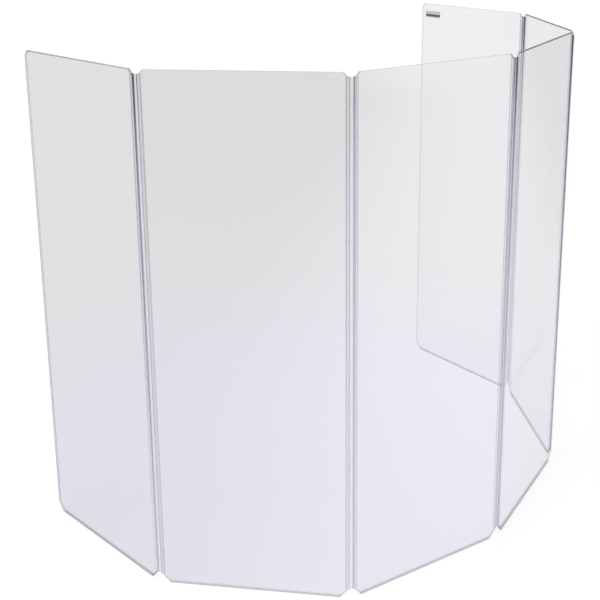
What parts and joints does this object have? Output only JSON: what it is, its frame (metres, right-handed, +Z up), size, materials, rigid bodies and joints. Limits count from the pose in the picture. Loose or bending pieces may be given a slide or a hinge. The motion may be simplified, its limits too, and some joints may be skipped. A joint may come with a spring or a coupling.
{
  "type": "drum shield",
  "caption": "Free-standing clear acrylic screen of tall hinged sheets, set in a horseshoe to hold back the sound of a drum kit; it folds flat like an accordion.",
  "frame": {"origin": "on the floor under the middle of the screen's bounding box", "axes": "+Z up; the second sheet from the left runs along X and its outer face looks towards -Y, which is the side the picture is taken from; the horseshoe opens towards -X and +Y"},
  "size_m": [1.7938, 2.071, 1.6764],
  "materials": {
    "clear_sheet": "polished clear acrylic",
    "milky_channel": "satin milky translucent vinyl",
    "clear_web": "soft clear flexible vinyl",
    "plate_grey": "satin, blank"
  },
  "bodies": {
    "section_1": {"panel_1": "clear_sheet", "hinge_1_left_channel": "milky_channel"},
    "web_1": {"hinge_1_web": "clear_web"},
    "section_2": {"hinge_1_right_channel": "milky_channel", "panel_2": "clear_sheet", "hinge_2_left_channel": "milky_channel"},
    "web_2": {"hinge_2_web": "clear_web"},
    "section_3": {"hinge_2_right_channel": "milky_channel", "panel_3": "clear_sheet", "hinge_3_left_channel": "milky_channel"},
    "web_3": {"hinge_3_web": "clear_web"},
    "section_4": {"hinge_3_right_channel": "milky_channel", "panel_4": "clear_sheet", "hinge_4_left_channel": "milky_channel"},
    "web_4": {"hinge_4_web": "clear_web"},
    "section_5": {"hinge_4_right_channel": "milky_channel", "panel_5": "clear_sheet", "hinge_5_left_channel": "milky_channel"},
    "web_5": {"hinge_5_web": "clear_web"},
    "section_6": {"hinge_5_right_channel": "milky_channel", "panel_6": "clear_sheet", "blank_plate": "plate_grey"}
  },
  "joints": [
    {"name": "hinge_2_right_bend", "type": "hinge", "parent": "section_3", "child": "web_2", "pos_m": [0.22423, -1.0268, 0.8], "axis": [0, 0, 1], "range_deg": [-68.5, 111.5]},
    {"name": "hinge_2_left_bend", "type": "hinge", "parent": "web_2", "child": "section_2", "pos_m": [0.2146, -1.0306, 0.8], "axis": [0, 0, 1], "range_deg": [-68.5, 111.5]},
    {"name": "hinge_1_right_bend", "type": "hinge", "parent": "section_2", "child": "web_1", "pos_m": [-0.4022, -1.0306, 0.8], "axis": [0, 0, -1], "range_deg": [-109, 71]},
    {"name": "hinge_1_left_bend", "type": "hinge", "parent": "web_1", "child": "section_1", "pos_m": [-0.41198, -1.02723, 0.8], "axis": [0, 0, -1], "range_deg": [-109, 71]},
    {"name": "hinge_3_left_bend", "type": "hinge", "parent": "section_3", "child": "web_3", "pos_m": [0.67533, -0.60615, 0.8], "axis": [0, 0, 1], "range_deg": [-103.5, 76.5]},
    {"name": "hinge_3_right_bend", "type": "hinge", "parent": "web_3", "child": "section_4", "pos_m": [0.68104, -0.59751, 0.8], "axis": [0, 0, 1], "range_deg": [-103.5, 76.5]},
    {"name": "hinge_4_left_bend", "type": "hinge", "parent": "section_4", "child": "web_4", "pos_m": [0.892, -0.01791, 0.8], "axis": [0, 0, -1], "range_deg": [-73, 107]},
    {"name": "hinge_4_right_bend", "type": "hinge", "parent": "web_4", "child": "section_5", "pos_m": [0.89254, -0.00758, 0.8], "axis": [0, 0, -1], "range_deg": [-73, 107]},
    {"name": "hinge_5_left_bend", "type": "hinge", "parent": "section_5", "child": "web_5", "pos_m": [0.74333, 0.5909, 0.8], "axis": [0, 0, 1], "range_deg": [-105.5, 74.5]},
    {"name": "hinge_5_right_bend", "type": "hinge", "parent": "web_5", "child": "section_6", "pos_m": [0.73823, 0.59991, 0.8], "axis": [0, 0, 1], "range_deg": [-105.5, 74.5]}
  ]
}
